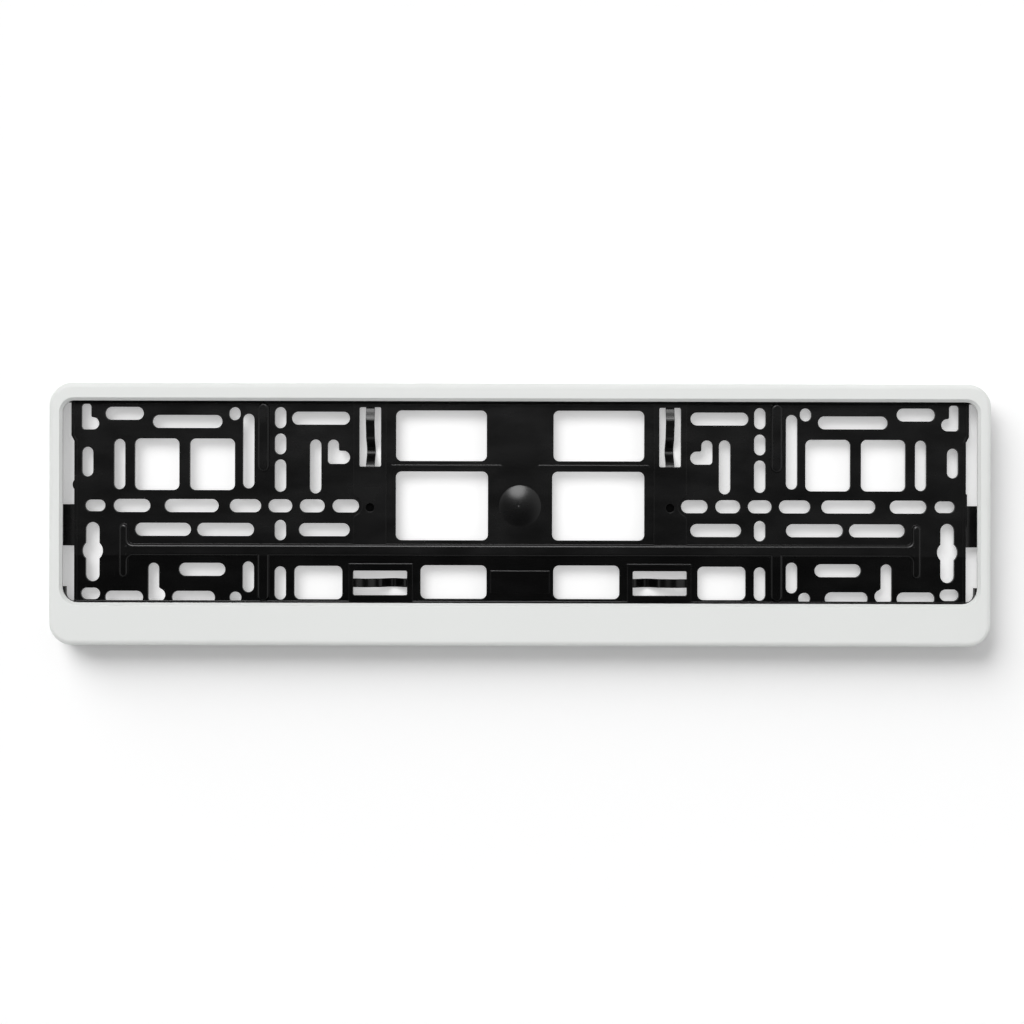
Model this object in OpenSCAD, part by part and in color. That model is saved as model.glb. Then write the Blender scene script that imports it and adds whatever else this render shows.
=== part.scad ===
// Number plate holder in two moulded pieces: a black base panel, full of screw
// slots, that is fixed to the car, and a pale surround that snaps over it and
// holds the number plate against it behind its lips.
// +X runs along the plate, +Z is up and the plate is seen from -Y. The origin is
// the middle of the row of screw slots, on the rear face of the panel's sheet.
// Both pieces are drawn lying down, with x and y in the plane of the plate and z
// as the height towards the viewer, and are stood up at the end.

/* [Window] */
// Width of the window that shows the number plate
window_w = 512.6; // [507:0.2:540]
// Height of the window's upper edge above the row of screw slots
window_above = 58.8; // [56.4:0.2:66]
// Depth of the window's lower edge below the row of screw slots
window_below = 54.4; // [52.4:0.2:62]
// Room for the number plate between the panel's beads and the lips
plate_room = 2; // [1.2:0.1:3]

/* [Surround] */
// Width of the lip above the window
top_lip = 10; // [9.2:0.2:16]
// Width of the lips beside the window
side_lip = 7.7; // [7.3:0.1:12]
// Height of the plain strip below the window
strip_h = 24; // [16:0.2:36]
// Thickness of the lips and of the strip
lip_t = 2.5; // [2:0.1:3]
// Thickness of the outer wall
wall = 2; // [1.2:0.1:2.2]
// Radius of the four outer corners
corner_r = 13; // [9:0.5:18]
// Rounding of the outer front edge
edge_round = 3; // [2.4:0.1:4]
// Radius of the window's upper corners
window_top_r = 6.5; // [3:0.1:9]
// Radius of the window's lower corners
window_bottom_r = 8.7; // [3:0.1:10]
// Width of the bevel round the window
bevel_w = 1.6; // [0.8:0.1:1.8]
// Number of stiffening ribs behind the strip
strip_ribs = 11; // [3:2:21]
// Thickness of a stiffening rib
strip_rib_t = 1.4; // [0.8:0.1:2]

/* [Panel] */
// Thickness of the panel's sheet
panel_t = 2; // [1.6:0.1:2.6]
// Distance from the car to the rear face of the sheet
standoff = 6; // [5:0.1:9]
// Open gap between the window's side edge and the panel
side_gap = 5.4; // [3:0.1:6]
// How far the panel's upper ends stand out past its sides
shoulder_out = 1.7; // [0.6:0.1:2.4]
// Thickness of the rim behind the surround
rim_t = 2.6; // [1.8:0.1:2.8]
// How far the rim reaches behind the lips
rim_reach = 2; // [1.4:0.1:2.4]
// Thickness of the panel's folded side edges
edge_t = 1.6; // [1:0.1:2]
// Height of each side tab
tab_h = 23.3; // [14:0.1:24]
// Thickness of a side tab
tab_t = 1.6; // [1.2:0.1:2]

/* [Beads] */
// Height of the stiffening beads above the sheet
bead_rise = 1.5; // [0.8:0.1:1.8]
// Width of the long beads
bead_w = 6.7; // [5:0.1:7]
// Width of the short beads near the ends
end_bead_w = 5; // [4:0.1:6]
// Wall left beside the hollow behind a bead
bead_wall = 1.5; // [1:0.1:1.8]
// Height of the raised pads round the springs
pad_rise = 0.9; // [0.4:0.1:1.4]
// Height of the low border round the panel
border_rise = 0.5; // [0.3:0.1:1]
// Radius of the dome in the middle
dome_r = 11.7; // [8:0.1:14]
// Height of the dome above the sheet
dome_rise = 2; // [1:0.1:2.4]

/* [Slots and openings] */
// Width of the level slots
level_slot = 7.3; // [6:0.1:8]
// Width of the upright slots
upright_slot = 6.5; // [5:0.1:7]
// Distance from the middle to each main screw slot
screw_slot_x = 185; // [184:0.1:187]
// Length of each main screw slot
screw_slot_l = 30.6; // [24:0.1:32]
// Width of the shank of a keyhole
keyhole_w = 7.9; // [5:0.1:8.4]
// Diameter of the head of a keyhole
keyhole_head = 11.7; // [9:0.1:13]
// Corner radius of the rectangular openings
opening_r = 3.2; // [1:0.1:4]

/* [Springs] */
// Width of a leaf spring
spring_w = 4.9; // [3:0.1:5.6]
// Thickness of a leaf spring
spring_t = 1.2; // [0.8:0.1:1.6]
// How far a leaf spring bulges towards the number plate
spring_crest = 2; // [0.5:0.1:2.2]

/* [Catches] */
// Number of catches along each long side
catches = 7; // [3:1:9]
// Length of a catch
catch_l = 16; // [10:0.5:24]
// Thickness of the leg of a catch
catch_t = 1.4; // [1:0.1:1.8]
// Clearance between the surround and the panel
fit = 0.25; // [0.1:0.05:0.4]

/* [Hidden] */
$fn = 64;

// Extra length of a cut, and how deep a raised shape is rooted in what carries it
cut = 1;
root = 1;

// Heights towards the viewer, counted from the rear face of the sheet
car_face = -standoff;
bead_top = panel_t + bead_rise;
lip_back = bead_top + plate_room;
lip_front = lip_back + lip_t;
skirt_back = car_face + 0.5;

// Window and outline of the surround
half_window = window_w / 2;
half_w = half_window + side_lip;
top_y = window_above + top_lip;
bottom_y = -window_below - strip_h;
half_h = (top_y - bottom_y) / 2;

// Outline of the panel: side edge, rim, step up to the wider ends, nub
panel_edge = half_window - side_gap;
rim_x = half_window + rim_reach;
rim_top = window_above + rim_reach;
rim_bottom = -window_below - rim_reach;
hook_t = 2;
hook_r = 6.4;
hook_back = -2.2;
shoulder_y = 36.2;
shoulder_slope = 3.3;
hook_h = 10.8;
nub_y = 11.7;
nub_r = 4;
nub_out = 1.1;
step_top = 7.3;
step_out = 0.8;

// Side tabs: middle, height of the tip, and what holds the tip in the surround
tab_y = -11;
tab_front = 0.4;
tab_x = half_w - wall - fit;
tab_flat = 3;
tab_stop = 1.6;
tab_nose = 1.2;
tab_grip_l = 14;

// Catches: lug on the rim, then stops, leg and nose on the surround
catch_inset = 30;
lug_out = 1.8;
lug_t = 1.4;
lug_front = -1.6;
lug_back = lug_front - lug_t;
stop_l = 1.8;
leg_l = catch_l - 2 * stop_l - 1;
leg_out = lug_out + 0.3;
nose_t = 1.4;
nose_out = 0.7;

// Ribs behind the strip
rib_inset = 16;
rib_room = 1.5;
rib_back = -2.5;

// Beads: level of the long one, columns of the upright ones, fillet where they join
bead_y = -24.9;
mid_bead_x = 144.4;
mid_bead_end = 19.3;
end_bead_x = from_edge(27.7);
end_bead_top = -10.1;
end_bead_bottom = -40.4;
join_r = 3;
ridge_y = 22.4;
ridge_x = [11, 72];
ridge_w = 1.6;
ridge_rise = 0.2;

// Levels shared by several slots
screw_row = 0;
middle_row = -13.4;
sill = 8.8;
head = 37.8;
row_end = 90.7;
column_x = 135;

// Elbow slots: width and top radius of the leg, the same for the slimmer one near the
// upper corner, height of its foot, radii of the heel and of the inside corner
leg_w = 6.3;
leg_top_r = 3;
slim_leg_w = 5.6;
slim_top_r = 1.8;
slim_foot = 6.8;
heel_r = 2;
elbow_fillet = 1;

// Height of the lowest openings above the window's lower edge
low_slot_sill = 1.1;

// Openings near the ends, counted inwards from the side edge. Uprights: middle, lower
// and upper end. Levels: inner and outer end, height, width. Elbows: leg, toe, lower
// and upper end.
end_uprights = [[7.3, 16.3, 33], [25.3, 9.1, 37.5]];
end_levels = [
    [38.9, 17.1, from_top(6.9), level_slot],
    [42.7, 21.8, screw_row, level_slot],
    [17.4, 5.9, screw_row, upright_slot],
    [14.5, 3.6, from_bottom(4.8), upright_slot],
];
end_elbow = [6.6, 13.8, from_top(16), from_top(1.6)];
low_elbow = [44.6, 51.2, from_bottom(0.4), bead_y - 7.4];
end_window = [59, 33.8];
end_low_slot = [38.7, 17.2];
keyhole_in = 10.2;
keyhole_y = [-42.7, -25.5, -9.4];

// Openings of the field: uprights by middle, lower and upper end, levels by inner and
// outer end and height
field_uprights = [
    [160.7, from_top(10.6), from_top(3.3)],
    [152.9, 9.8, from_top(7)],
    [153, from_bottom(5.7), bead_y - 6.5],
];
field_levels = [
    [167.7, from_edge(43.8), from_top(11.4)],
    [145.8, 163.6, screw_row],
    [185.3, from_edge(34), middle_row],
    [149.8, 182, middle_row],
    [165.9, 192.1, bead_y - 11],
];
field_window = [160.6, 186];
field_low_slot = [171.7, 196];
short_low_slot = 156.8;

// Openings of the column and between it and the springs, in the same order, and
// windows by inner and outer end, sill and head
column_uprights = [
    [column_x, 43.7, from_top(3.2)],
    [column_x, 29, 40.7],
    [column_x, 7.9, 26.1],
    [column_x, -19.4, -8],
    [column_x, from_bottom(1.5), bead_y - 9.2],
    [115.2, 7, 37.4],
];
column_levels = [
    [128.3, 141.8, screw_row],
    [110, 124.1, screw_row],
    [row_end, 105.7, screw_row],
    [95.9, 128.6, from_top(9.4)],
    [95.9, 124.6, middle_row],
];
column_elbow = [105.2, 95.8, 23.7, 37.3];
column_window = [100, 127.1, from_bottom(1.8), bead_y - 8.9];
centre_windows = [
    [18.8, 69.9, 25.4, from_top(4.9)],
    [18.1, 70, -19.2, 19.5],
    [18.8, 56, from_bottom(2.2), bead_y - 8.4],
];

// Springs: middle and width of the upright opening, ends of the level one
spring_x = 84.4;
spring_open_w = 12.2;
spring_open_r = 0.9;
upright_spring = [22.2, from_top(3.2)];
level_spring = [63.5, 93.9];
level_spring_y = [from_bottom(4.2), bead_y - 11.5];
spring_root = 1.5;
spring_steps = 36;
dip_at = 0.27;
crest_at = 0.77;

// Pads round the springs, the relief beside the screw slot and the screw mark
pad_x = [75.4, 93.7];
low_pad_x = [60.5, 96.3];
relief_r = level_slot / 2 + 1.9;
relief_mouth = 3;
mark_r = 2.5;
mark_y = -0.9;
mark_deep = 1.6;

// Low border along the upper edge, ledge under the plate and plaque in the middle
border = [from_top(2.4), from_top(1.3)];
border_end = from_edge(16);
ledge = 0.8;
plaque = [16.6, -36.4, -48.9];
plaque_rise = 0.3;

// Distances are counted from the edge that a feature keeps its place from
function from_edge(d) = panel_edge - d;
function from_top(d) = window_above - d;
function from_bottom(d) = d - window_below;

// Stands up what was drawn lying down
module stand() {
    rotate([90, 0, 0]) children();
}

// A flat shape given a body between two heights
module layer(low, high) {
    translate([0, 0, low]) linear_extrude(high - low) children();
}

// The right half and its mirror image
module both_sides() {
    children();
    mirror([1, 0, 0]) children();
}

// A rectangle with one radius at its lower corners and one at its upper corners
module soft_rect(x1, y1, x2, y2, low_r, high_r) {
    mid = (y1 + low_r + y2 - high_r) / 2;
    for (side = [[y1, low_r, 1], [y2, high_r, -1]]) {
        r = side[1];
        centre_y = side[0] + side[2] * r;
        translate([x1 + r, min(side[0], mid)]) square([x2 - x1 - 2 * r, abs(mid - side[0])]);
        translate([x1, min(centre_y, mid)]) square([x2 - x1, abs(mid - centre_y)]);
        for (x = [x1 + r, x2 - r]) translate([x, centre_y]) circle(r);
    }
}

// Round-ended slots along x and along y
module level(x1, x2, y, w = level_slot) {
    translate([x1 + w / 2, y - w / 2]) square([x2 - x1 - w, w]);
    for (x = [x1 + w / 2, x2 - w / 2]) translate([x, y]) circle(w / 2);
}

module upright(x, y1, y2, w = upright_slot) {
    translate([x - w / 2, y1 + w / 2]) square([w, y2 - y1 - w]);
    for (y = [y1 + w / 2, y2 - w / 2]) translate([x, y]) circle(w / 2);
}

// An upright leg whose round foot points to the middle, softened where they meet
module elbow(x, y1, y2, toe, foot_h = level_slot, w = leg_w, top_r = leg_top_r) {
    inner_x = x - w / 2;
    soft_rect(inner_x, y1, x + w / 2, y2, heel_r, top_r);
    level(toe, x + w / 2, y1 + foot_h / 2, foot_h);
    difference() {
        translate([inner_x - elbow_fillet, y1 + foot_h - elbow_fillet]) square(2 * elbow_fillet);
        translate([inner_x - elbow_fillet, y1 + foot_h + elbow_fillet]) circle(elbow_fillet);
    }
}

module opening(x1, y1, x2, y2) {
    soft_rect(x1, y1, x2, y2, opening_r, opening_r);
}

// What of an opening in the lowest row lies above the rim
module above_rim() {
    intersection() {
        children();
        translate([0, from_bottom(low_slot_sill)]) square(half_w);
    }
}

// A slot of the lowest row, whose lower side is closed by the rim
module low_slot(x1, x2, w = level_slot) {
    above_rim() level(x1, x2, from_bottom(2.7), w);
}

// A long slot with a round widening for a screw head
module keyhole(x, y1, y2, head_y) {
    upright(x, y1, y2, keyhole_w);
    translate([x, head_y]) circle(keyhole_head / 2);
}

// Openings near the panel's ends, which keep their place from its side edge
module end_slots() {
    for (s = end_uprights) upright(from_edge(s[0]), s[1], s[2]);
    for (s = end_levels) level(from_edge(s[0]), from_edge(s[1]), s[2], s[3]);
    elbow(from_edge(end_elbow[0]), end_elbow[2], end_elbow[3], from_edge(end_elbow[1]), slim_foot,
        slim_leg_w, slim_top_r);
    above_rim() elbow(from_edge(low_elbow[0]), low_elbow[2], low_elbow[3], from_edge(low_elbow[1]));
    opening(from_edge(end_window[0]), sill, from_edge(end_window[1]), head);
    keyhole(from_edge(keyhole_in), keyhole_y[0], keyhole_y[2], keyhole_y[1]);
    low_slot(from_edge(end_low_slot[0]), from_edge(end_low_slot[1]));
}

// Openings between the ends and the column of upright slots
module field_slots() {
    for (s = field_uprights) upright(s[0], s[1], s[2]);
    for (s = field_levels) level(s[0], s[1], s[2]);
    level(screw_slot_x - screw_slot_l / 2, screw_slot_x + screw_slot_l / 2, screw_row);
    opening(field_window[0], sill, field_window[1], head);
    low_slot(field_low_slot[0], field_low_slot[1]);
    low_slot(short_low_slot, short_low_slot + upright_slot + fit, upright_slot);
}

// The column of upright slots and the openings between it and the springs
module column_slots() {
    for (s = column_uprights) upright(s[0], s[1], s[2]);
    for (s = column_levels) level(s[0], s[1], s[2]);
    elbow(column_elbow[0], column_elbow[2], column_elbow[3], column_elbow[1]);
    opening(column_window[0], column_window[2], column_window[1], column_window[3]);
}

// The three large openings beside the middle
module centre_openings() {
    for (s = centre_windows) opening(s[0], s[2], s[1], s[3]);
}

// The openings that the leaf springs cross
module spring_openings() {
    soft_rect(spring_x - spring_open_w / 2, upright_spring[0], spring_x + spring_open_w / 2,
        upright_spring[1], spring_open_r, spring_open_r);
    soft_rect(level_spring[0], level_spring_y[0], level_spring[1], level_spring_y[1],
        spring_open_r, spring_open_r);
}

// Outline of the sheet, with its wider upper ends, a nub on one side edge and a
// low step above the tab on the other
module panel_outline() {
    wide_edge = panel_edge + shoulder_out;
    translate([-panel_edge, rim_bottom]) square([2 * panel_edge, rim_top - rim_bottom]);
    both_sides()
        polygon([[0, shoulder_y], [panel_edge, shoulder_y], [wide_edge, shoulder_y + shoulder_slope],
            [wide_edge, rim_top], [0, rim_top]]);
    translate([nub_r - nub_out - panel_edge, nub_y]) circle(nub_r);
    translate([panel_edge - root, tab_y]) square([root + step_out, step_top - tab_y]);
}

// Plan of the folded side edge, which follows the step of the outline
module side_edge() {
    wide_edge = panel_edge + shoulder_out;
    slope_top = shoulder_y + shoulder_slope;
    polygon([[panel_edge, rim_bottom], [panel_edge, shoulder_y], [wide_edge, slope_top],
        [wide_edge, rim_top], [wide_edge - edge_t, rim_top], [wide_edge - edge_t, slope_top],
        [panel_edge - edge_t, shoulder_y], [panel_edge - edge_t, rim_bottom]]);
}

// Plan of the rim: a rail above, and one below that hooks up round both corners to a
// given height
module rim_plan(hook_top) {
    hook_y = rim_bottom + hook_top;
    difference() {
        soft_rect(-rim_x, rim_bottom, rim_x, rim_top, hook_r, window_top_r + rim_reach);
        soft_rect(hook_t - rim_x, rim_bottom + rim_t, rim_x - hook_t, rim_top - rim_t,
            hook_r - hook_t, window_top_r + rim_reach - rim_t);
        translate([-rim_x - cut, hook_y])
            square([2 * (rim_x + cut), rim_top - rim_t - hook_y]);
    }
}

// Half the section of a raised bead: a flat crown and a quarter-round shoulder
module half_bead(w, rise) {
    side = w / 2 - rise;
    translate([0, panel_t - root]) square([side, root + rise]);
    translate([0, panel_t - root]) square([w / 2, root]);
    intersection() {
        translate([side, panel_t]) circle(rise);
        translate([side, panel_t]) square(rise + cut);
    }
}

// A round-ended bead that runs from a point along the direction of its turn
module bead(x, y, l, turn, w, rise = bead_rise) {
    translate([x, y, 0]) rotate(turn) {
        rotate([90, 0, 90]) linear_extrude(l) {
            half_bead(w, rise);
            mirror([1, 0]) half_bead(w, rise);
        }
        rotate(90) rotate_extrude(angle = 180) half_bead(w, rise);
        translate([l, 0, 0]) rotate(-90) rotate_extrude(angle = 180) half_bead(w, rise);
    }
}

// The inside corner where the long bead runs into an end bead
module bead_join(side) {
    join_w = end_bead_w / 2;
    x = end_bead_x - end_bead_w / 2 - join_r;
    y = bead_y + side * (bead_w / 2 + join_r);
    translate([x, y, 0]) rotate(side > 0 ? -90 : 0) rotate_extrude(angle = 90)
        translate([join_r + join_w, 0]) mirror([1, 0]) half_bead(2 * join_w, bead_rise);
}

module beads() {
    mid_low = rim_bottom + rim_t + bead_w / 2;
    bead(0, bead_y, end_bead_x - max(0, bead_w - end_bead_w), 0, bead_w);
    bead(end_bead_x, end_bead_bottom + end_bead_w / 2,
        end_bead_top - end_bead_bottom - end_bead_w, 90, end_bead_w);
    bead(mid_bead_x, mid_bead_end + bead_w / 2, rim_top - rim_t - bead_w - mid_bead_end, 90, bead_w);
    bead(mid_bead_x, mid_low, bead_y - mid_low, 90, bead_w);
    bead(ridge_x[0], ridge_y, ridge_x[1] - ridge_x[0], 0, ridge_w, ridge_rise);
    for (side = [-1, 1]) bead_join(side);
}

// Plan of the hollow behind the beads
module bead_hollow() {
    hollow_w = bead_w - 2 * bead_wall;
    level(-hollow_w, end_bead_x, bead_y, hollow_w);
    upright(end_bead_x, end_bead_bottom + bead_wall, end_bead_top - bead_wall,
        end_bead_w - 2 * bead_wall);
    upright(mid_bead_x, mid_bead_end + bead_wall, rim_top - rim_t, hollow_w);
    upright(mid_bead_x, rim_bottom + rim_t, bead_y, hollow_w);
}

// Plan of the pad round an upright spring, relieved round the end of a screw slot
module column_pad() {
    relief_x = row_end + level_slot / 2;
    mouth_x = pad_x[1] - relief_mouth;
    mouth_y = sqrt(pow(relief_r + relief_mouth, 2) - pow(relief_x - mouth_x, 2));
    difference() {
        translate([pad_x[0], bead_y]) square([pad_x[1] - pad_x[0], rim_top - bead_y - root]);
        translate([relief_x, screw_row]) circle(relief_r);
        for (side = [-1, 1]) difference() {
            polygon([[relief_x, screw_row], [mouth_x, screw_row + side * mouth_y],
                [pad_x[1] + cut, screw_row + side * mouth_y]]);
            translate([mouth_x, screw_row + side * mouth_y]) circle(relief_mouth);
        }
    }
}

module low_pad() {
    translate([low_pad_x[0], rim_bottom + root])
        square([low_pad_x[1] - low_pad_x[0], bead_y - 7.6 - rim_bottom - root]);
}

// Plan of the low border along the upper edge and the two sides
module border_plan() {
    translate([-border_end, border[0]]) square([2 * border_end, border[1] - border[0]]);
    both_sides() side_edge();
}

// Plan of the ledge that the plate's lower edge stands on
module ledge_plan() {
    translate([root - panel_edge, rim_bottom + root])
        square([2 * (panel_edge - root), rim_reach - root + ledge]);
}

// Solid of the dome above a given depth, for its outside and for its hollow
module dome(inset) {
    sphere_r = (dome_r * dome_r + dome_rise * dome_rise) / (2 * dome_rise);
    rotate_extrude() intersection() {
        translate([0, panel_t + dome_rise - sphere_r]) circle(sphere_r - inset, $fn = 240);
        translate([0, panel_t - root - inset]) square([dome_r - inset, dome_rise + root]);
    }
}

// Height of a leaf spring's middle at a share of its length: flush at both ends,
// touching the car at its dip and bulging towards the plate at its crest
function wave(u) = abs(u) < 1 ? (1 + cos(180 * u)) / 2 : 0;
function spring_height(s) = panel_t / 2 + spring_crest * wave((s - crest_at) / (1 - crest_at))
    - (panel_t / 2 + standoff - spring_t / 2) * wave((s - dip_at) / dip_at);

// Side view of a leaf spring, with its ends rooted in the sheet
module spring_side(l) {
    ends = [-spring_root, l + spring_root];
    shares = [for (i = [0:spring_steps]) i / spring_steps];
    front = [for (s = shares) [s * l, spring_height(s) + spring_t / 2]];
    back = [for (i = [spring_steps:-1:0]) front[i] - [0, spring_t]];
    polygon(concat([[ends[0], front[0][1]]], front, [[ends[1], front[0][1]]],
        [[ends[1], back[0][1]]], back, [[ends[0], back[0][1]]]));
}

module springs() {
    translate([spring_x - spring_w / 2, upright_spring[0], 0]) rotate([90, 0, 90])
        linear_extrude(spring_w) spring_side(upright_spring[1] - upright_spring[0]);
    translate([level_spring[0], (level_spring_y[0] + level_spring_y[1] + spring_w) / 2, 0])
        rotate([90, 0, 0]) linear_extrude(spring_w) spring_side(level_spring[1] - level_spring[0]);
}

// A tab that slopes back from the panel's side to its flat tip behind the lip
module side_tab() {
    root_x = panel_edge - edge_t;
    flat_x = tab_x - tab_flat;
    translate([0, tab_y + tab_h / 2, 0]) rotate([90, 0, 0]) linear_extrude(tab_h)
        polygon([[root_x, panel_t], [panel_edge, panel_t], [flat_x, tab_front], [tab_x, tab_front],
            [tab_x, tab_front - tab_t], [flat_x, tab_front - tab_t], [panel_edge, panel_t - tab_t],
            [root_x, panel_t - tab_t]]);
}

// Children at the middle of each catch along the long sides
module at_catches() {
    pitch = 2 * (half_window - catch_inset) / (catches - 1);
    for (i = [0:catches - 1]) translate([catch_inset - half_window + i * pitch, 0, 0]) children();
}

// A block beside a long edge, between two distances outwards from it
module block(edge, side, x1, x2, near, far, low, high) {
    translate([x1, min(edge + side * near, edge + side * far), low])
        cube([x2 - x1, far - near, high - low]);
}

// Lug on the rim for one catch
module lug(edge, side) {
    block(edge, side, -catch_l / 2, catch_l / 2, -root, lug_out, lug_back, lug_front);
}

// Two stops that rest on the lug, and between them a leg whose nose grips it
module surround_catch(edge, side) {
    for (x = [-catch_l / 2, catch_l / 2 - stop_l])
        block(edge, side, x, x + stop_l, fit, lug_out, lug_front, lip_back + root);
    block(edge, side, -leg_l / 2, leg_l / 2, leg_out, leg_out + catch_t, lug_back - fit - nose_t,
        lip_back + root);
    block(edge, side, -leg_l / 2, leg_l / 2, nose_out, leg_out + root / 2, lug_back - fit - nose_t,
        lug_back - fit);
}

// A stop in front of a side tab's tip and a nose behind it
module tab_grip() {
    inner_x = half_w - wall;
    translate([inner_x - tab_stop, tab_y - tab_grip_l / 2, tab_front + fit])
        cube([tab_stop + root, tab_grip_l, lip_back + root - tab_front - fit]);
    translate([inner_x - tab_nose, tab_y - tab_grip_l / 2, tab_front - tab_t - fit - nose_t])
        cube([tab_nose + root, tab_grip_l, nose_t]);
}

// Ribs that stiffen the strip from behind
module strip_stiffeners() {
    pitch = 2 * (half_window - rib_inset) / (strip_ribs - 1);
    rib_end = rim_bottom - leg_out - catch_t - rib_room;
    for (i = [0:strip_ribs - 1])
        translate([rib_inset - half_window + i * pitch - strip_rib_t / 2, bottom_y + root, rib_back])
            cube([strip_rib_t, rib_end - bottom_y - root, lip_back + root - rib_back]);
}

// Section of the surround from a corner's centre to its face: wall, round edge, lip
module skirt_section() {
    inner_round = edge_round - wall;
    front_x = corner_r - edge_round;
    difference() {
        union() {
            translate([0, skirt_back]) square([corner_r, lip_front - edge_round - skirt_back]);
            translate([0, skirt_back]) square([front_x, lip_front - skirt_back]);
            translate([front_x, lip_front - edge_round]) circle(edge_round);
        }
        translate([-cut, skirt_back - cut])
            square([corner_r - wall + cut, lip_back - inner_round - skirt_back + cut]);
        translate([-cut, skirt_back - cut]) square([front_x + cut, lip_back - skirt_back + cut]);
        translate([front_x, lip_back - inner_round]) circle(inner_round);
    }
}

// The section carried along the four sides and round the four corners
module skirt() {
    runs = [half_w - corner_r, half_h - corner_r];
    for (i = [0:3]) {
        run = runs[i % 2];
        rotate(90 * i) translate([-run, runs[(i + 1) % 2], 0])
            rotate([90, 0, 90]) linear_extrude(2 * run) skirt_section();
        rotate(90 * i) translate([run, runs[(i + 1) % 2], 0])
            rotate_extrude(angle = 90) skirt_section();
    }
}

// Section of the bevelled cut from the centre of a window corner outwards
module bevel_section(r) {
    low = lip_front - bevel_w;
    polygon([[0, low], [r, low], [r + bevel_w + cut, lip_front + cut], [0, lip_front + cut]]);
}

module window_cut() {
    top_x = half_window - window_top_r;
    low_x = half_window - window_bottom_r;
    top_centre = window_above - window_top_r;
    low_centre = window_bottom_r - window_below;
    layer(lip_back - cut, lip_front + cut)
        soft_rect(-half_window, -window_below, half_window, window_above, window_bottom_r, window_top_r);
    translate([-top_x, top_centre, 0]) rotate([90, 0, 90])
        linear_extrude(2 * top_x) bevel_section(window_top_r);
    translate([low_x, low_centre, 0]) rotate([90, 0, -90])
        linear_extrude(2 * low_x) bevel_section(window_bottom_r);
    both_sides() {
        translate([top_x, top_centre, 0]) rotate([90, 0, 0])
            linear_extrude(top_centre - low_centre) bevel_section(window_top_r);
        translate([top_x, top_centre, 0]) rotate_extrude(angle = 90) bevel_section(window_top_r);
        translate([low_x, low_centre, 0]) rotate(-90)
            rotate_extrude(angle = 90) bevel_section(window_bottom_r);
    }
}

// The flat middle of the surround's face, before the window is cut
module face_plan() {
    flat = [half_w - corner_r + root, half_h - corner_r + root];
    translate([-flat[0], bottom_y + half_h - flat[1]]) square(2 * flat);
}

module frame() {
    color([0.87, 0.88, 0.87]) stand() {
        difference() {
            union() {
                translate([0, (top_y + bottom_y) / 2, 0]) skirt();
                layer(lip_back, lip_front) face_plan();
            }
            window_cut();
        }
        at_catches() {
            surround_catch(rim_top, 1);
            surround_catch(rim_bottom, -1);
        }
        both_sides() tab_grip();
        strip_stiffeners();
    }
}

module base_plate() {
    color([0.1, 0.1, 0.1]) stand() {
        difference() {
            union() {
                layer(0, panel_t) difference() {
                    panel_outline();
                    both_sides() {
                        end_slots();
                        field_slots();
                        column_slots();
                        centre_openings();
                        spring_openings();
                    }
                }
                layer(panel_t - root, panel_t + pad_rise) both_sides() difference() {
                    union() {
                        column_pad();
                        low_pad();
                    }
                    spring_openings();
                }
                layer(car_face, panel_t) {
                    rim_plan(rim_t);
                    both_sides() side_edge();
                }
                layer(hook_back, panel_t) rim_plan(hook_h);
                layer(panel_t - root, panel_t + border_rise) border_plan();
                layer(panel_t - root, panel_t + pad_rise) ledge_plan();
                layer(panel_t - root, panel_t + plaque_rise) translate([-plaque[0], plaque[2]])
                    square([2 * plaque[0], plaque[1] - plaque[2]]);
                both_sides() beads();
                dome(0);
            }
            layer(-cut, bead_rise) both_sides() bead_hollow();
            dome(panel_t);
            both_sides() translate([spring_x, mark_y, panel_t + pad_rise - mark_deep])
                cylinder(r = mark_r, h = mark_deep + cut);
        }
        both_sides() {
            springs();
            side_tab();
        }
        at_catches() {
            lug(rim_top, 1);
            lug(rim_bottom, -1);
        }
    }
}

frame();
base_plate();
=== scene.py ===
import math

import bmesh
import bpy
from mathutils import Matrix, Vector


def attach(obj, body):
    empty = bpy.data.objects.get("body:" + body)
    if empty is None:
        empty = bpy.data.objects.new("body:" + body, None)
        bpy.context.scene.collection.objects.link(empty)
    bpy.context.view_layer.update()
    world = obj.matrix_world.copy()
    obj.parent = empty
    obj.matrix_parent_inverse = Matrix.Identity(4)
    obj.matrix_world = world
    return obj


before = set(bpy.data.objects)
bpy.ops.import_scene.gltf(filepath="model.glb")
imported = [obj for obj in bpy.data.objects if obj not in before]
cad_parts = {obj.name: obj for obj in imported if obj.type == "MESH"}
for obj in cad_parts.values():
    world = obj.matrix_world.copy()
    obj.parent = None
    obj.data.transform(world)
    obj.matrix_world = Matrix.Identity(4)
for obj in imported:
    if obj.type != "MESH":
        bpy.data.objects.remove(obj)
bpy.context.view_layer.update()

MM = 0.001

# Where things lie on the part, in millimetres, as in the part's source
PANEL_FRONT = -2.0
DOME_R = 11.7
DOME_RISE = 2.0
FRAME_FRONT = -8.0
CAR_PLANE = 6.0
MARK_X = 84.4
MARK_Z = -0.9
MARK_R = 2.45
MARK_FLOOR = 1.3
# Below this edge the black panel is painted darker, a painted shade, and made glossier
LOW_SHADE_EDGE = (-28.5, -27.6)

# Where the wall is parted, hidden behind the surround: half width, lower and upper edge
WALL_SEAM = (260.0, -66.0, 64.0)

# How the photograph maps to the plane of the surround's front face
PHOTO_PX = 1024
MM_PER_PX = 0.5593
PHOTO_MIDDLE = (-4.5, -3.2)
CAMERA_Z = 0.0
CAMERA_FAR = 900.0
ROLL = -0.13

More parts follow.
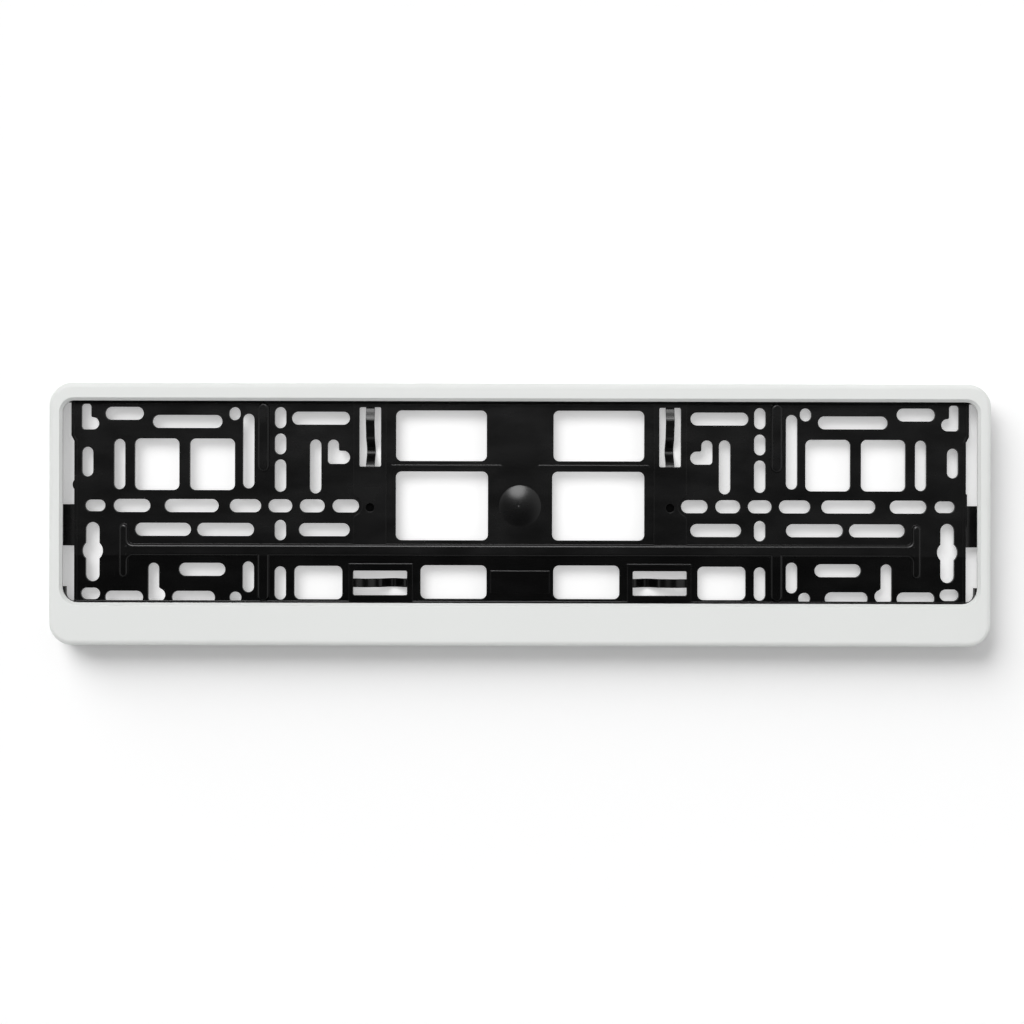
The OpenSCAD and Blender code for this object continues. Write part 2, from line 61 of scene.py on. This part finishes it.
SURROUND_COLOUR = (0.672, 0.684, 0.672)
PANEL_COLOUR = (0.0048, 0.0048, 0.0049)
MIDDLE_WALL = (0.9, 0.9, 0.9)
# painted light: the wall behind the panel glows far more than the wall round the part, lifting the part's shadows
# seen through its openings
MIDDLE_GLOW = 0.34
ROUND_WALL = (0.87, 0.87, 0.87)
ROUND_GLOW = 0.045
SKY = 0.6
SKY_FROM_ABOVE = 0.2
SKY_BEHIND_CAMERA = 0.02
DARKEST_WAY = (-0.1, -0.966, -0.24)
KEY_STRENGTH = 1.42
KEY_SPREAD = 34
KEY_FROM = (-0.42, -1.0, 0.64)
SHEEN_STRENGTH = 1.2
SHEEN_SPREAD = 30
SHEEN_FROM = (-0.1, -1.0, 0.6)
SURROUND_FILL = 1.03
WALL_FILL = 0.38
REAR_FILL = 1.5
FILL_SPREAD = 30
RAKE_STRENGTH = 4.1
RAKE_SPREAD = 50
RAKE_FROM = (-1.15, -1.0, 1.65)


# Shader trees

class Shader:
    """A material's node tree, built one node at a time."""

    def __init__(self, tree):
        self.tree = tree
        tree.nodes.clear()

    def add(self, kind, **inputs):
        node = self.tree.nodes.new(kind)
        for name, value in inputs.items():
            socket = self.socket(node, name)
            if isinstance(value, bpy.types.NodeSocket):
                self.tree.links.new(value, socket)
            else:
                socket.default_value = value
        return node

    @staticmethod
    def socket(node, name):
        if name[0] == "i" and name[1:].isdigit():
            return node.inputs[int(name[1:])]
        return node.inputs[name.replace("_", " ")]

    def math(self, operation, a, b=0.0, c=0.0):
        node = self.tree.nodes.new("ShaderNodeMath")
        node.operation = operation
        for socket, value in zip(node.inputs, (a, b, c)):
            if isinstance(value, bpy.types.NodeSocket):
                self.tree.links.new(value, socket)
            else:
                socket.default_value = value
        return node.outputs[0]

    def noise(self, where, scale, detail=2.0, roughness=0.5):
        node = self.add("ShaderNodeTexNoise", Vector=where, Scale=scale, Detail=detail, Roughness=roughness)
        return node.outputs["Fac"]

    def remap(self, value, low, high, to_low, to_high):
        node = self.tree.nodes.new("ShaderNodeMapRange")
        node.interpolation_type = "SMOOTHSTEP"
        self.tree.links.new(value, node.inputs["Value"])
        for name, number in zip(("From Min", "From Max", "To Min", "To Max"), (low, high, to_low, to_high)):
            node.inputs[name].default_value = number
        return node.outputs["Result"]

    def mix(self, factor, a, b):
        node = self.tree.nodes.new("ShaderNodeMix")
        node.data_type = "RGBA"
        self.tree.links.new(factor, node.inputs["Factor"])
        node.inputs[6].default_value = (*a, 1)
        node.inputs[7].default_value = (*b, 1)
        return node.outputs[2]

    def stretched(self, x, y, z):
        """Object coordinates in metres, stretched along each axis."""
        place = self.add("ShaderNodeTexCoord").outputs["Object"]
        node = self.add("ShaderNodeMapping", Vector=place, Scale=(x, y, z))
        return node.outputs["Vector"]


def new_material(name):
    material = bpy.data.materials.new(name)
    material.use_nodes = True
    return material, Shader(material.node_tree)


def tinted(colour, share):
    return tuple(c * share for c in colour)


def surround_plastic():
    """Very pale grey moulded plastic: smooth, with a soft sheen and a faint grain."""
    material, s = new_material("surround_plastic")
    where = s.stretched(1, 1, 1)
    cloud = s.noise(where, 9.0, 3.0)
    grain = s.noise(where, 2600.0, 2.0)
    ripple = s.noise(s.stretched(0.3, 1, 1), 60.0, 2.0)
    colour = s.mix(s.remap(cloud, 0.3, 0.7, 0, 1), tinted(SURROUND_COLOUR, 0.985), tinted(SURROUND_COLOUR, 1.01))
    roughness = s.remap(cloud, 0.25, 0.75, 0.45, 0.52)
    edge = s.add("ShaderNodeBevel", Radius=0.4 * MM)
    edge.samples = 8
    soft = s.add("ShaderNodeBump", Strength=0.35, Distance=0.05 * MM, Height=ripple, Normal=edge.outputs[0])
    fine = s.add("ShaderNodeBump", Strength=0.12, Distance=0.01 * MM, Height=grain, Normal=soft.outputs[0])
    skin = s.add("ShaderNodeBsdfPrincipled", Base_Color=colour, Roughness=roughness, IOR=1.49,
                 Normal=fine.outputs[0])
    s.add("ShaderNodeOutputMaterial", Surface=skin.outputs[0])
    return material


def panel_plastic():
    """Black moulded plastic: a dull sheen, cloudy flow marks and a fine grain. The faces that run along the
    mould's draw are duller than those that face it. Below the long bead it is glossier and painted darker,
    a painted shade."""
    material, s = new_material("panel_plastic")
    where = s.stretched(1, 1, 1)
    cloud = s.noise(s.stretched(1, 1, 1.8), 34.0, 4.0, 0.6)
    streak = s.noise(s.stretched(0.5, 1, 1.2), 60.0, 3.0)
    grain = s.noise(where, 3200.0, 2.0)
    height = s.add("ShaderNodeSeparateXYZ", Vector=where).outputs["Z"]
    # painted shade: below the long bead the black is darkened to 0.4 of its colour; it is also made glossier
    # there
    above_shade_band = s.remap(height, LOW_SHADE_EDGE[0] * MM, LOW_SHADE_EDGE[1] * MM, 0.0, 1.0)
    tone = s.math("MULTIPLY", s.remap(cloud, 0.3, 0.7, 0.45, 1), s.remap(above_shade_band, 0, 1, 0.4, 1))
    colour = s.mix(tone, tinted(PANEL_COLOUR, 0.3), tinted(PANEL_COLOUR, 1.5))
    shine = s.remap(streak, 0.3, 0.7, 0.21, 0.28)
    roughness = s.math("SUBTRACT", shine, s.remap(above_shade_band, 0, 1, 0.06, 0.0))
    across = s.add("ShaderNodeSeparateXYZ", Vector=s.add("ShaderNodeNewGeometry").outputs["True Normal"])
    sheen = s.remap(s.math("ABSOLUTE", across.outputs["Y"]), 0.35, 0.95, 0.05, 0.5)
    edge = s.add("ShaderNodeBevel", Radius=0.35 * MM)
    edge.samples = 8
    soft = s.add("ShaderNodeBump", Strength=0.15, Distance=0.06 * MM, Height=streak, Normal=edge.outputs[0])
    fine = s.add("ShaderNodeBump", Strength=0.2, Distance=0.01 * MM, Height=grain, Normal=soft.outputs[0])
    skin = s.add("ShaderNodeBsdfPrincipled", Base_Color=colour, Roughness=roughness, IOR=1.49,
                 Specular_IOR_Level=sheen, Normal=fine.outputs[0])
    s.add("ShaderNodeOutputMaterial", Surface=skin.outputs[0])
    return material


def rough_plastic():
    """The same black where it is left rough from the mould, with hardly any sheen."""
    material, s = new_material("rough_plastic")
    skin = s.add("ShaderNodeBsdfPrincipled", Base_Color=(*tinted(PANEL_COLOUR, 0.2), 1), Roughness=0.9,
                 Specular_IOR_Level=0.1)
    s.add("ShaderNodeOutputMaterial", Surface=skin.outputs[0])
    return material


def dress(obj, material):
    obj.data.materials.clear()
    obj.data.materials.append(material)


SURROUND = surround_plastic()
PANEL = panel_plastic()
ROUGH = rough_plastic()
dress(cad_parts["frame"], SURROUND)
dress(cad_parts["base_plate"], PANEL)


# Small pieces on the panel

def piece(name, bm, material):
    mesh = bpy.data.meshes.new(name)
    bm.to_mesh(mesh)
    bm.free()
    mesh.shade_smooth()
    obj = bpy.data.objects.new(name, mesh)
    bpy.context.scene.collection.objects.link(obj)
    dress(obj, material)
    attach(obj, "root")
    return obj


def turned(name, profile, centre, material, steps=48):
    """A round piece about -Y from (radius, height) pairs in millimetres, the height towards the viewer."""
    bm = bmesh.new()
    rings = []
    for r, h in profile:
        ring = []
        for i in range(steps if r > 0 else 1):
            a = 2 * math.pi * i / steps
            ring.append(bm.verts.new(Vector((centre[0] + r * math.cos(a), -h, centre[1] + r * math.sin(a))) * MM))
        rings.append(ring)
    for low, high in zip(rings, rings[1:]):
        for i in range(steps):
            j = (i + 1) % steps
            corners = [low[i % len(low)], low[j % len(low)], high[j % len(high)], high[i % len(high)]]
            bm.faces.new(list(dict.fromkeys(corners)))
    bmesh.ops.recalc_face_normals(bm, faces=bm.faces)
    return piece(name, bm, material)


def dome_skin():
    """The dome's smooth outside, just proud of the solid, with its edge faired into the sheet."""
    sphere_r = (DOME_R ** 2 + DOME_RISE ** 2) / (2 * DOME_RISE)
    top = DOME_RISE - PANEL_FRONT
    profile = [(DOME_R + 0.2, -PANEL_FRONT - 0.05)]
    for i in range(24, -1, -1):
        r = DOME_R * i / 24
        profile.append((r, top - sphere_r + math.sqrt(sphere_r ** 2 - r ** 2) + 0.03))
    turned("dome_skin", profile, (0, 0), PANEL, 96)


def gate_mark():
    """The small torn stub that the moulding's gate leaves on the dome."""
    r = 0.9
    low = DOME_RISE - PANEL_FRONT - 0.2
    profile = [(r, low), (r, low + 0.26), (r * 0.8, low + 0.34), (r * 0.5, low + 0.3), (r * 0.3, low + 0.5),
               (0, low + 0.56)]
    turned("gate_mark", profile, (-0.8, -0.4), PANEL)


def mark_floors():
    """The rough floors of the two round marks below the upright springs."""
    low, high = MARK_FLOOR - 0.05, MARK_FLOOR + 0.03
    profile = [(0, low), (MARK_R, low), (MARK_R, high), (MARK_R - 0.1, high), (0, high)]
    turned("mark_floor_left", profile, (-MARK_X, MARK_Z), ROUGH)
    turned("mark_floor_right", profile, (MARK_X, MARK_Z), ROUGH)


dome_skin()
gate_mark()
mark_floors()


# Wall behind the part, light and camera

def wall_paint(name, colour, glow):
    """White wall that keeps the shadow of the part and isn't seen from behind."""
    material, s = new_material(name)
    path = s.add("ShaderNodeLightPath").outputs
    behind = s.add("ShaderNodeNewGeometry").outputs["Backfacing"]
    seen = s.math("MAXIMUM", path["Is Camera Ray"], path["Is Glossy Ray"])
    paint = s.add("ShaderNodeBsdfDiffuse", Color=(*colour, 1))
    shine = s.add("ShaderNodeEmission", Color=(1, 1, 1, 1), Strength=s.math("MULTIPLY", seen, glow))
    front = s.add("ShaderNodeAddShader", i0=paint.outputs[0], i1=shine.outputs[0])
    clear = s.add("ShaderNodeBsdfTransparent")
    see_through = s.math("MAXIMUM", path["Is Shadow Ray"], behind)
    both = s.add("ShaderNodeMixShader", i0=see_through, i1=front.outputs[0], i2=clear.outputs[0])
    s.add("ShaderNodeOutputMaterial", Surface=both.outputs[0])
    return material


def wall_piece(name, boxes, colour, glow):
    """Upright rectangles behind the part, each from its lower left to its upper right corner."""
    y = CAR_PLANE + 0.2
    bm = bmesh.new()
    for x1, z1, x2, z2 in boxes:
        corners = [(x1, z1), (x2, z1), (x2, z2), (x1, z2)]
        bm.faces.new([bm.verts.new(Vector((x, y, z)) * MM) for x, z in corners])
    mesh = bpy.data.meshes.new(name)
    bm.to_mesh(mesh)
    bm.free()
    wall = bpy.data.objects.new(name, mesh)
    bpy.context.scene.collection.objects.link(wall)
    dress(wall, wall_paint(name, colour, glow))
    return wall


def make_walls():
    """The wall in two: what is seen through the panel, and all that lies round the part. The middle piece
    glows far more, painted light that lifts the part's shadows seen through the panel.
    """
    far = 2000.0
    x, low, high = WALL_SEAM
    wall_piece("wall_middle", [(-x, low, x, high)], MIDDLE_WALL, MIDDLE_GLOW)
    round_part = [(-far, -far, far, low), (-far, high, far, far), (-far, low, -x, high), (x, low, far, high)]
    return wall_piece("wall_round", round_part, ROUND_WALL, ROUND_GLOW)


def make_world():
    world = bpy.data.worlds.new("studio")
    bpy.context.scene.world = world
    world.use_nodes = True
    s = Shader(world.node_tree)
    seen = s.add("ShaderNodeLightPath").outputs["Is Camera Ray"]
    way = s.add("ShaderNodeTexCoord").outputs["Generated"]
    towards_camera = s.tree.nodes.new("ShaderNodeVectorMath")
    towards_camera.operation = "DOT_PRODUCT"
    s.tree.links.new(way, towards_camera.inputs[0])
    towards_camera.inputs[1].default_value = DARKEST_WAY
    lit = s.remap(towards_camera.outputs["Value"], 0.65, 0.94, SKY, SKY_BEHIND_CAMERA)
    up = s.add("ShaderNodeSeparateXYZ", Vector=way).outputs["Z"]
    lit = s.math("MULTIPLY", lit, s.math("MULTIPLY_ADD", up, SKY_FROM_ABOVE, 1.0))
    plain = s.math("MULTIPLY", lit, s.math("SUBTRACT", 1.0, seen))
    sky = s.add("ShaderNodeBackground", Color=(1, 1, 1, 1), Strength=s.math("ADD", seen, plain))
    s.add("ShaderNodeOutputWorld", Surface=sky.outputs[0])


def sun(name, way_to_light, strength, spread):
    light = bpy.data.lights.new(name, "SUN")
    light.energy = strength
    light.angle = math.radians(spread)
    lamp = bpy.data.objects.new(name, light)
    bpy.context.scene.collection.objects.link(lamp)
    lamp.rotation_euler = Vector(way_to_light).to_track_quat("Z", "Y").to_euler()
    return lamp


def light_only(lamp, objects):
    lit = bpy.data.collections.new("lit_by_" + lamp.name)
    for obj in objects:
        lit.objects.link(obj)
    lamp.light_linking.receiver_collection = lit


def make_lamps(wall):
    """A key and fills on the surround and the walls, a light of its own for the sheen of the
    black plastic, and a wide low light that draws the part's shadow on the outer wall."""
    meshes = [obj for obj in bpy.context.scene.objects if obj.type == "MESH"]
    black = [obj for obj in meshes if obj.data.materials[0] in (PANEL, ROUGH)]
    surround = [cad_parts["frame"]]
    walls = [obj for obj in meshes if obj not in black + surround]
    light_only(sun("key", KEY_FROM, KEY_STRENGTH, KEY_SPREAD), surround + [obj for obj in walls if obj != wall])
    light_only(sun("surround_fill", (0, -1, 0), SURROUND_FILL, FILL_SPREAD), surround)
    light_only(sun("wall_fill", (0, -1, 0), WALL_FILL, FILL_SPREAD), walls)
    rear_fill = sun("rear_fill", (-0.3, 1, 0.2), REAR_FILL, FILL_SPREAD)
    rear_fill.data.cycles.max_bounces = 0
    light_only(rear_fill, surround)
    light_only(sun("sheen", SHEEN_FROM, SHEEN_STRENGTH, SHEEN_SPREAD), black)
    light_only(sun("rake", RAKE_FROM, RAKE_STRENGTH, RAKE_SPREAD), [wall])
    sun("rear_key", (0.3, 0.74, 0.6), KEY_STRENGTH * 0.8, KEY_SPREAD)


def make_camera():
    data = bpy.data.cameras.new("camera")
    camera = bpy.data.objects.new("camera", data)
    bpy.context.scene.collection.objects.link(camera)
    camera.location = (0, -CAMERA_FAR * MM, CAMERA_Z * MM)
    camera.rotation_euler = (math.radians(90), math.radians(ROLL), 0)
    width = PHOTO_PX * MM_PER_PX
    data.sensor_width = 36
    data.lens = data.sensor_width * (CAMERA_FAR + FRAME_FRONT) / width
    data.shift_x = PHOTO_MIDDLE[0] / width
    data.shift_y = (PHOTO_MIDDLE[1] - CAMERA_Z) / width
    bpy.context.scene.camera = camera


wall = make_walls()
make_world()
make_lamps(wall)
make_camera()
bpy.context.scene.view_settings.view_transform = "Standard"
